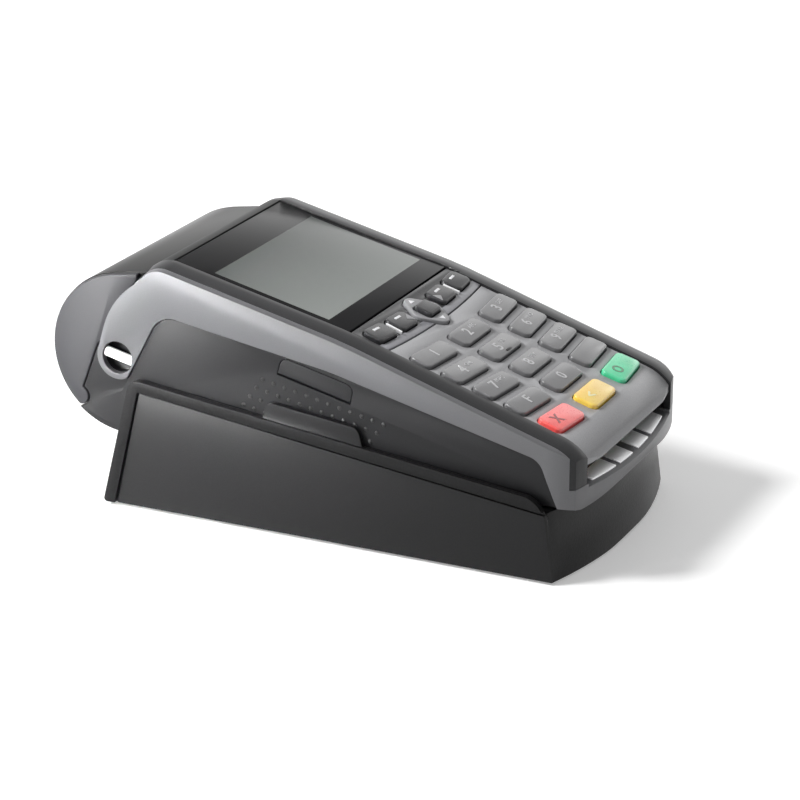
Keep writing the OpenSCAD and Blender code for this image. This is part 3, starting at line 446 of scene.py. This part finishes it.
def window_finish():
    material, tree, shader = start_material("display_window_polish")
    plane = plane_coords(tree, CREST, DISPLAY_TILT)
    x, y, _ = axes(tree, plane)
    inside = math_node(tree, "LESS_THAN", math_node(tree, "ABSOLUTE", x), LCD_HALF_WIDTH)
    inside = math_node(tree, "MULTIPLY", inside, math_node(tree, "GREATER_THAN", y, LCD_NEAR))
    inside = math_node(tree, "MULTIPLY", inside, math_node(tree, "LESS_THAN", y, LCD_FAR))
    # Painted reflection: both tones are lighter at the front and fade darker towards the rear.
    painted_reflection_fade = math_node(tree, "DIVIDE", math_node(tree, "SUBTRACT", y, LCD_NEAR), LCD_FAR - LCD_NEAR)
    glass = blend_colours(tree, painted_reflection_fade, (0.285, 0.302, 0.291), (0.085, 0.092, 0.088))
    dots = add(tree, "ShaderNodeTexChecker", Scale=1 / LCD_DOT)
    feed(tree, dots, Vector=plane)
    dim = math_node(tree, "MULTIPLY", dots.outputs["Fac"], LCD_DOT_STRENGTH)
    lcd = blend_colours(tree, dim, glass, (0.10, 0.11, 0.10))
    black = blend_colours(tree, painted_reflection_fade, (0.014, 0.014, 0.015), (0.003, 0.003, 0.0034))
    feed(tree, shader, Base_Color=blend_colours(tree, inside, black, lcd),
         Roughness=spread(tree, noise(tree, size_mm=14, detail=2), 0.10, 0.17))
    set_sockets(shader, Specular_IOR_Level=0.06)
    return material


window_polish = window_finish()
print("LCD area in mm:", round(2 * LCD_HALF_WIDTH / mm, 1), "x", round((LCD_FAR - LCD_NEAR) / mm, 1))

# %% [markdown]
# ## The charging base
# The base is a dark wedge with a sunken satin panel on each side, while its rim and bowed front are sparked more
# coarsely. The solid already has the panel and the tabs, which all lie at one distance from the middle, so the
# finish can tell them from the rim by that distance alone.

# %% Base finish with its panels
PANEL_X, PANEL_SLACK = 40.65 * mm, 0.12 * mm


def base_finish():
    material, tree, shader = start_material("charcoal_base")
    x, _, _ = axes(tree, object_coords(tree))
    off = math_node(tree, "SUBTRACT", math_node(tree, "ABSOLUTE", x), PANEL_X)
    panel = math_node(tree, "LESS_THAN", math_node(tree, "ABSOLUTE", off), PANEL_SLACK)
    fine, coarse = noise(tree, size_mm=0.35, detail=4), noise(tree, size_mm=0.75, detail=5)
    satin = blend_colours(tree, spread(tree, fine, 0, 1), (0.010, 0.010, 0.0105), (0.013, 0.013, 0.0135))
    sparked = blend_colours(tree, spread(tree, coarse, 0, 1), (0.004, 0.004, 0.004), (0.008, 0.008, 0.0085))
    feed(tree, shader, Base_Color=blend_colours(tree, panel, sparked, satin),
         Roughness=spread(tree, noise(tree, SHEEN_PATCH, detail=2), 0.29, 0.35))
    grain = math_node(tree, "MULTIPLY", coarse, math_node(tree, "SUBTRACT", 1.0, panel))
    lift(tree, shader, grain, strength=0.7, relief=0.06)
    set_sockets(shader, Specular_IOR_Level=0.18)
    return material


charcoal = base_finish()
print("panels at", round(PANEL_X / mm, 2), "mm from the middle")

# %% [markdown]
# With its finishes made, the base is dressed piece by piece. The shell gets three bevel segments, because its
# edges are seen close up, and the small parts underneath get two. The board inside keeps its solid.

# %% Dress the base
soften("base_shell", charcoal, radius=0.5, segments=3)
soften("base_floor", black_plastic, radius=0.3)
soften("base_feet", rubber, radius=0.2)
soften("power_socket", black_plastic, radius=0.2)
soften("contact_block", black_plastic, radius=0.2)
soften("contact_pins", gilt, radius=0.25)
soften("base_screws", steel, radius=0.15)
paint("base_board", board_green)

# %% [markdown]
# ## The terminal's shells
# A silver trim wraps a dark lower housing and a dark frame round the window. The frame is one moulding in two
# finishes: a satin rim, and a blacker and duller border between window and lid. The border is a rectangle seen
# from above, so two comparisons make its mask.

# %% Frame finish
BORDER_Y, BORDER_HALF_WIDTH = 44.0 * mm, 31.5 * mm
BORDER_DULLER = 0.15


def frame_finish():
    material, tree, shader = start_material("frame_two_tone")
    x, y, _ = axes(tree, object_coords(tree))
    border = math_node(tree, "MULTIPLY", math_node(tree, "GREATER_THAN", y, BORDER_Y),
                       math_node(tree, "LESS_THAN", math_node(tree, "ABSOLUTE", x), BORDER_HALF_WIDTH))
    fine = spread(tree, noise(tree, size_mm=0.4, detail=4), 0, 1)
    rim = blend_colours(tree, fine, (0.018, 0.018, 0.019), (0.023, 0.023, 0.0245))
    black = blend_colours(tree, fine, (0.004, 0.004, 0.004), (0.006, 0.006, 0.006))
    sheen = spread(tree, noise(tree, SHEEN_PATCH, detail=2), 0.33, 0.39)
    duller = math_node(tree, "MULTIPLY", border, BORDER_DULLER)
    feed(tree, shader, Base_Color=blend_colours(tree, border, rim, black),
         Roughness=math_node(tree, "ADD", sheen, duller))
    set_sockets(shader, Specular_IOR_Level=0.22)
    return material


frame_grey = frame_finish()
print("the border starts at y", round(BORDER_Y / mm, 1), "mm")

# %% [markdown]
# The trim's edges are drawn a little softer than the others, because they are what the hand holds.

# %% Dress the shells
soften("side_trim", silver, radius=0.6, segments=3)
soften("upper_housing", frame_grey, radius=0.4, segments=3)
soften("lower_housing", graphite, radius=0.4)
soften("lid_shell", graphite_gloss, radius=0.4, segments=3)
soften("lid_cheeks", cheek_grey, radius=0.45, segments=3)
soften("strap_bars", bright_bar, radius=0.3, segments=3)
soften("port_cover", graphite, radius=0.4, segments=3)
soften("battery_door", graphite, radius=0.3)
soften("display_window", window_polish, radius=0.2)
soften("card_guides", pad_silver, radius=0.15)
soften("dock_contacts", gilt, radius=0.15)
soften("housing_screws", steel, radius=0.15)

# %% [markdown]
# ## Plates and keys
# The number keys stand in holes of a speckled silver plate. Each cap is a straight moulding with a generous edge
# radius, so three bevel segments are used there. The function keys are glossy and sit in a darker plate.

# %% Dress the key plate and the keys
GREY_KEYS = ["key_1", "key_2", "key_3", "key_4", "key_5", "key_6", "key_7", "key_8", "key_9",
             "key_f", "key_0", "key_point"]
COLOUR_KEYS = {"key_red": red_tint, "key_yellow": yellow_tint, "key_green": green_tint}
FUNCTION_KEYS = ["key_f1", "key_f2", "key_f3", "key_f4"]
soften("key_plate", key_plate_grey, radius=0.2)
for key in GREY_KEYS:
    soften(key, key_grey, radius=0.4, segments=3)
for key, tint in COLOUR_KEYS.items():
    soften(key, tint, radius=0.5, segments=3)
for key in FUNCTION_KEYS:
    soften(key, function_gloss, radius=0.45, segments=3)
soften("scroll_rocker", rocker_grey, radius=0.3, segments=3)
soften("menu_key", function_gloss, radius=0.5, segments=3)

# %% [markdown]
# The plate behind the function keys has two tones: a pale ledge in front of the keys and a dark field round
# them. The line between them follows the same wide radius as the rows of keys, so the mask measures the distance
# from the radius's centre.

# %% Function plate with its ledge
LEDGE_Y = 25.6 * mm


def ledge_finish():
    material, tree, shader = start_material("function_plate_two_tone")
    x, y, _ = axes(tree, plane_coords(tree, KEYPAD_ORIGIN, KEYPAD_TILT))
    back = math_node(tree, "SUBTRACT", y, LEDGE_Y + ROW_RADIUS)
    ledge = math_node(tree, "GREATER_THAN", reach(tree, x, back), ROW_RADIUS)
    fine = spread(tree, noise(tree, size_mm=0.3), 0, 1)
    pale = blend_colours(tree, fine, (0.225, 0.225, 0.245), (0.265, 0.265, 0.285))
    dark = blend_colours(tree, fine, (0.030, 0.030, 0.032), (0.036, 0.036, 0.038))
    feed(tree, shader, Base_Color=blend_colours(tree, ledge, dark, pale),
         Roughness=spread(tree, noise(tree, size_mm=12, detail=2), 0.24, 0.34))
    return material


soften("function_plate", ledge_finish(), radius=0.2)

# %% [markdown]
# ## Inside the terminal
# The printer's works show when the lid is open. The larger pieces get soft edges. Gears, shafts, boards and the
# sealed pieces keep their solids' shapes and only need the right finish.

# %% Dress the printer and the sealed pieces
soften("platen_roller", rubber, radius=0.3)
soften("paper_roll", paper, radius=0.3)
soften("print_head", white_plastic, radius=0.3)
soften("printer_frame", white_plastic, radius=0.2)
INNER = {steel: ["platen_shaft", "lid_hinge_pin", "drive_motor", "key_domes", "service_socket"],
         white_plastic: ["idler_gear", "motor_pinion"],
         board_green: ["keypad_board", "main_board"],
         black_plastic: ["battery_pack", "card_reader", "lcd_module"],
         gilt: ["card_contacts"]}
for finish, nodes in INNER.items():
    for node in nodes:
        paint(node, finish)
print("inner pieces finished:", sum(len(nodes) for nodes in INNER.values()))

# %% [markdown]
# ## Digits and marks on the keys
# The digits are raised a tenth of a millimetre and sunk a little into the cap, so no gap shows. A text object is
# turned into a mesh first, and then moved onto its key's top with that key's own matrix, so it tilts and swings
# with the key. It rides on the key's body and goes down with it.

# %% Lettering
RAISED, SUNK = 0.1 * mm, 0.03 * mm


def lettering(text, size, place, shift, bolder=0.0):
    """A mesh of raised text on a place; size, shift and the widening of its strokes are in mm."""
    curve = bpy.data.curves.new("lettering", "FONT")
    curve.body = text
    curve.size, curve.offset = size * mm, bolder * mm
    curve.extrude = RAISED / 2
    curve.align_x, curve.align_y = "CENTER", "CENTER"
    curve.resolution_u = 3
    helper = bpy.data.objects.new("lettering", curve)
    bpy.context.scene.collection.objects.link(helper)
    bpy.context.view_layer.update()
    mesh = bpy.data.meshes.new_from_object(helper.evaluated_get(bpy.context.evaluated_depsgraph_get()))
    bpy.data.objects.remove(helper)
    mesh.transform(place @ Matrix.Translation((shift[0] * mm, shift[1] * mm, RAISED / 2 - SUNK)))
    return mesh


def marks(name, body, meshes, finish):
    """Joins meshes of text into one piece."""
    bm = bmesh.new()
    for mesh in meshes:
        bm.from_mesh(mesh)
        bpy.data.meshes.remove(mesh)
    piece(bm, name, body, finish, smooth=30)


print("lettering stands", round((RAISED - SUNK) / mm, 2), "mm proud")

# %% [markdown]
# A digit with letters beside it moves left to make room for them. The last grey key is blank, so the loop ends
# one key early.

# %% Digits
KEY_TOP = 0.5 * mm
DIGIT_SIZE, DIGIT_BOLDER, BESIDE_LETTERS, ALONE = 4.7, 0.06, (-1.4, 0), (0, 0)
LETTERS_SIZE, LETTERS_SHIFT = 1.9, (2.9, 0.9)
LETTERS = {"2": "ABC", "3": "DEF", "4": "GHI", "5": "JKL", "6": "MNO", "7": "PQRS", "8": "TUV", "9": "WXYZ"}
for i, (key, digit) in enumerate(zip(GREY_KEYS, "123456789F0")):
    place = on_row((i % 3 - 1) * COLUMN_PITCH, row_y(i // 3), KEY_TOP)
    shift = BESIDE_LETTERS if digit in LETTERS else ALONE
    parts = [lettering(digit, DIGIT_SIZE, place, shift, DIGIT_BOLDER)]
    if digit in LETTERS:
        parts.append(lettering(LETTERS[digit], LETTERS_SIZE, place, LETTERS_SHIFT))
    marks(key + "_digit", key, parts, digit_pale)
print("digits on", len(GREY_KEYS) - 1, "keys")

# %% [markdown]
# The coloured keys carry plain marks for stop, back and go, each in a deeper or paler tint of its key.

# %% Marks on the coloured keys
COLOUR_ROW_GAP = 10.3 * mm
MARK_SIZE, MARK_BOLDER, MARK_SHIFT = 4.6, 0.13, (-2.8, 0)
for i, (key, mark, finish) in enumerate(zip(COLOUR_KEYS, "X<O", (red_mark, yellow_mark, green_mark))):
    place = on_row((i - 1) * COLUMN_PITCH, row_y(3) - COLOUR_ROW_GAP, KEY_TOP)
    marks(key + "_mark", key, [lettering(mark, MARK_SIZE, place, MARK_SHIFT, MARK_BOLDER)], finish)
print("marks on", len(COLOUR_KEYS), "keys")

# %% [markdown]
# A small bar on the middle key lets a finger find it without looking. It is a short box with rounded edges, like
# the dashes on the function keys and the ridges between them, so one helper makes them all.

# %% Rounded bars
HOMING_SIZE, HOMING_OFFSET, HOMING_SUNK = (2.6, 0.7, 0.3), 2.5 * mm, 0.05 * mm


def rounded_bar(bm, place, size, radius):
    """Adds a bar of size (x, y, z) in mm, standing on the plane of place."""
    made = bmesh.ops.create_cube(bm, size=1.0)["verts"]
    bmesh.ops.scale(bm, vec=Vector(size) * mm, verts=made)
    bmesh.ops.translate(bm, vec=(0, 0, size[2] * mm / 2), verts=made)
    bmesh.ops.transform(bm, matrix=place, verts=made)
    round_edges(bm, list({e for v in made for e in v.link_edges}), radius, segments=2, clamp=True)


bm = bmesh.new()
rounded_bar(bm, on_row(0, row_y(1) - HOMING_OFFSET, KEY_TOP - HOMING_SUNK), HOMING_SIZE, radius=0.12)
piece(bm, "homing_bar", "key_5", black_plastic)
print("homing bar in mm:", HOMING_SIZE)

# %% [markdown]
# Each function key has a white dash, and a bright ridge stands between the two keys of a pair.

# %% Dashes and ridges of the function keys
FUNCTION_Y, FUNCTION_TOP = 29 * mm, 0.7 * mm
FUNCTION_X, RIDGE_X = (-24.6, -12.9, 12.9, 24.6), (-18.75, 18.75)
DASH_SIZE, DASH_Y = (3.0, 0.75, 0.1), FUNCTION_Y + 1.4 * mm
RIDGE_SIZE, RIDGE_Y, RIDGE_FOOT = (0.6, 5.2, 1.05), FUNCTION_Y - 0.9 * mm, -0.45 * mm
for key, x in zip(FUNCTION_KEYS, FUNCTION_X):
    bm = bmesh.new()
    rounded_bar(bm, on_row(x * mm, DASH_Y, FUNCTION_TOP - SUNK), DASH_SIZE, radius=0.03)
    piece(bm, key + "_dash", key, mark_white)
bm = bmesh.new()
for x in RIDGE_X:
    rounded_bar(bm, on_row(x * mm, RIDGE_Y, RIDGE_FOOT), RIDGE_SIZE, radius=0.2)
piece(bm, "function_ridges", "terminal", pad_silver)
print("dashes:", len(FUNCTION_X), "ridges:", len(RIDGE_X))

# %% [markdown]
# The rocker scrolls up and down, and says so with two small white triangles. The function keys beside it carry a
# grey one each, pointing outwards. A circle of three sides, pushed out a tenth of a millimetre, is all they need.

# %% Scroll arrows
ROCKER_Y, ROCKER_TOP, ARROW_OUT = 27.6 * mm, 0.33 * mm, 5.0 * mm
TIP_X, TIP_Y = 9.6 * mm, FUNCTION_Y - 0.6 * mm


def arrow(bm, place, degrees, radius, flatten):
    """Adds a thin triangle that points along y of its place, turned by some degrees."""
    made = bmesh.ops.create_circle(bm, cap_ends=True, segments=3, radius=radius * mm)["verts"]
    up = bmesh.ops.extrude_face_region(bm, geom=[made[0].link_faces[0]])["geom"]
    top = [g for g in up if isinstance(g, bmesh.types.BMVert)]
    bmesh.ops.translate(bm, vec=(0, 0, RAISED), verts=top)
    bmesh.ops.scale(bm, vec=(1, flatten, 1), verts=made + top)
    turned = Matrix.Rotation(math.radians(degrees), 4, "Z")
    bmesh.ops.transform(bm, matrix=place @ turned, verts=made + top)
    bmesh.ops.recalc_face_normals(bm, faces=bm.faces)


bm = bmesh.new()
for degrees, y in ((0, ROCKER_Y + ARROW_OUT), (180, ROCKER_Y - ARROW_OUT)):
    arrow(bm, keypad_plane @ Matrix.Translation((0, y, ROCKER_TOP)), degrees, radius=1.25, flatten=0.75)
piece(bm, "scroll_arrows", "scroll_rocker", mark_white)
for key, x, degrees in (("key_f2", -TIP_X, 90), ("key_f3", TIP_X, -90)):
    bm = bmesh.new()
    arrow(bm, on_row(x, TIP_Y, FUNCTION_TOP - SUNK), degrees, radius=1.9, flatten=0.8)
    piece(bm, key + "_tip", key, rocker_grey)
print("arrows on the rocker: 2, beside it: 2")

# %% [markdown]
# ## Grip dots
# Rows of small raised dots on both flanks of the lower housing keep the terminal from slipping in the hand. Bump
# in the finish could fake them, but it would be lost in the mesh. Each is a flattened low sphere with few faces,
# because there are about a hundred of them.

# %% Grip dots
FLANK_X, DOT_ROWS, DOTS_IN_ROW = 38.5, 4, 12
FIRST_DOT, ROW_STEP, DOT_STEP = Vector((13.6, 43.7)), Vector((2.0, -2.71)), Vector((-3.28, -0.65))
GRIP_DOT_RADIUS, GRIP_DOT_FLATTEN = 0.62, 0.55
for side, name in ((-1, "grip_dots_left"), (1, "grip_dots_right")):
    bm = bmesh.new()
    for row in range(DOT_ROWS):
        for i in range(DOTS_IN_ROW):
            y, z = FIRST_DOT + row * ROW_STEP + i * DOT_STEP
            made = bmesh.ops.create_uvsphere(bm, u_segments=8, v_segments=6, radius=GRIP_DOT_RADIUS * mm)["verts"]
            bmesh.ops.scale(bm, vec=(GRIP_DOT_FLATTEN, 1, 1), verts=made)
            bmesh.ops.translate(bm, vec=(side * FLANK_X * mm, y * mm, z * mm), verts=made)
    piece(bm, name, "terminal", black_plastic, smooth=60)
print("grip dots:", 2 * DOT_ROWS * DOTS_IN_ROW)

# %% [markdown]
# ## Camera
# The photograph was taken from the user's left, a little above, with a long lens. The camera's place comes from
# fitting the edges of the base, the keypad and the display, so no shift is needed.

# %% Camera
CAMERA_PLACE = Vector((-710.2, -343.4, 321.6)) * mm
CAMERA_LOOK = Vector((0.8476, 0.3989, -0.3499))
camera_data = bpy.data.cameras.new("photo_camera")
camera_data.lens, camera_data.sensor_width = 135, 36
camera = bpy.data.objects.new("photo_camera", camera_data)
bpy.context.scene.collection.objects.link(camera)
camera.location = CAMERA_PLACE
camera.rotation_euler = CAMERA_LOOK.to_track_quat("-Z", "Y").to_euler()
bpy.context.scene.camera = camera
print("camera is", round(CAMERA_PLACE.length, 2), "m from the origin")

# %% [markdown]
# ## Floor and light
# The object stands on plain white. The floor is a pale surface that takes the shadow. For the camera and for
# reflections it adds a little of its own light, more of it further out, so the empty floor reads as white while
# the shadow stays.

# %% Floor
FLOOR_HALF = 6.0
GLOW_NEAR, GLOW_FAR = (0.16, 0.30), (0.5, 0.7)


def floor_finish():
    material, tree, shader = start_material("white_floor")
    set_sockets(shader, Base_Color=(0.80, 0.80, 0.80, 1), Emission_Color=(1, 1, 1, 1))
    path = add(tree, "ShaderNodeLightPath")
    seen = math_node(tree, "MAXIMUM", path.outputs["Is Camera Ray"], path.outputs["Is Glossy Ray"])
    distance = add(tree, "ShaderNodeVectorMath", operation="LENGTH")
    tree.links.new(object_coords(tree), distance.inputs[0])
    glow = add(tree, "ShaderNodeMapRange", From_Min=GLOW_NEAR[0], From_Max=GLOW_FAR[0],
               To_Min=GLOW_NEAR[1], To_Max=GLOW_FAR[1])
    feed(tree, glow, Value=distance.outputs["Value"])
    feed(tree, shader, Roughness=spread(tree, noise(tree, size_mm=300, detail=2), 0.55, 0.65),
         Emission_Strength=math_node(tree, "MULTIPLY", seen, glow.outputs["Result"]))
    return material


bm = bmesh.new()
bmesh.ops.create_grid(bm, x_segments=2, y_segments=2, size=FLOOR_HALF)
mesh = bpy.data.meshes.new("floor")
bm.to_mesh(mesh)
bm.free()
mesh.materials.append(floor_finish())
floor = bpy.data.objects.new("floor", mesh)
bpy.context.scene.collection.objects.link(floor)
print("floor in m:", 2 * FLOOR_HALF, "x", 2 * FLOOR_HALF)

# %% [markdown]
# The world is white to the camera, in reflections and through clear pieces, and lights everything else at a
# quarter of that, so the lamps can shape the object.

# %% World
AMBIENT = 0.25
world = bpy.data.worlds.new("studio")
bpy.context.scene.world = world
world.use_nodes = True
tree = world.node_tree
path = add(tree, "ShaderNodeLightPath")
seen = math_node(tree, "MAXIMUM", path.outputs["Is Camera Ray"], path.outputs["Is Transmission Ray"])
seen = math_node(tree, "MAXIMUM", seen, path.outputs["Is Glossy Ray"])
background = tree.nodes["Background"]
set_sockets(background, Color=(1, 1, 1, 1))
feed(tree, background, Strength=math_node(tree, "ADD", math_node(tree, "MULTIPLY", seen, 1 - AMBIENT), AMBIENT))
bpy.context.scene.view_settings.view_transform = "Standard"
print("ambient light:", AMBIENT)

# %% [markdown]
# The main lamp stands behind and to the left, where the photograph's highlights and shadow come from. Wide fills
# stand in front on the left and behind on the right, a low strip lights the right flank, and a narrow beam
# grazes the paper drum.

# %% Lamps
OBJECT_MIDDLE, KEYPAD_AIM, DRUM_AIM = (0, 0, 0.03), (0, -0.04, 0.03), (-0.04, 0.085, 0.065)


def soft_lamp(name, place, target, size, watts, beam=180):
    """A rectangular lamp; places and sizes are in metres, the beam in degrees."""
    data = bpy.data.lights.new(name, "AREA")
    data.shape, data.size, data.size_y, data.energy = "RECTANGLE", size[0], size[1], watts
    data.spread = math.radians(beam)
    lamp = bpy.data.objects.new(name, data)
    bpy.context.scene.collection.objects.link(lamp)
    lamp.location = place
    lamp.rotation_euler = (Vector(target) - Vector(place)).to_track_quat("-Z", "Y").to_euler()


soft_lamp("rear_softbox", (-0.45, 0.62, 0.85), OBJECT_MIDDLE, size=(0.28, 0.28), watts=15)
soft_lamp("left_fill", (-1.1, -0.5, 0.7), OBJECT_MIDDLE, size=(0.9, 0.9), watts=2.0)
soft_lamp("right_fill", (1.0, 0.5, 0.5), OBJECT_MIDDLE, size=(0.9, 0.9), watts=0.9)
soft_lamp("right_strip", (0.9, -0.22, 0.30), KEYPAD_AIM, size=(0.5, 0.16), watts=0.4)
soft_lamp("drum_light", (-0.52, 0.34, 0.14), DRUM_AIM, size=(0.12, 0.12), watts=0.19, beam=22)
print("lamps:", len(bpy.data.lights))
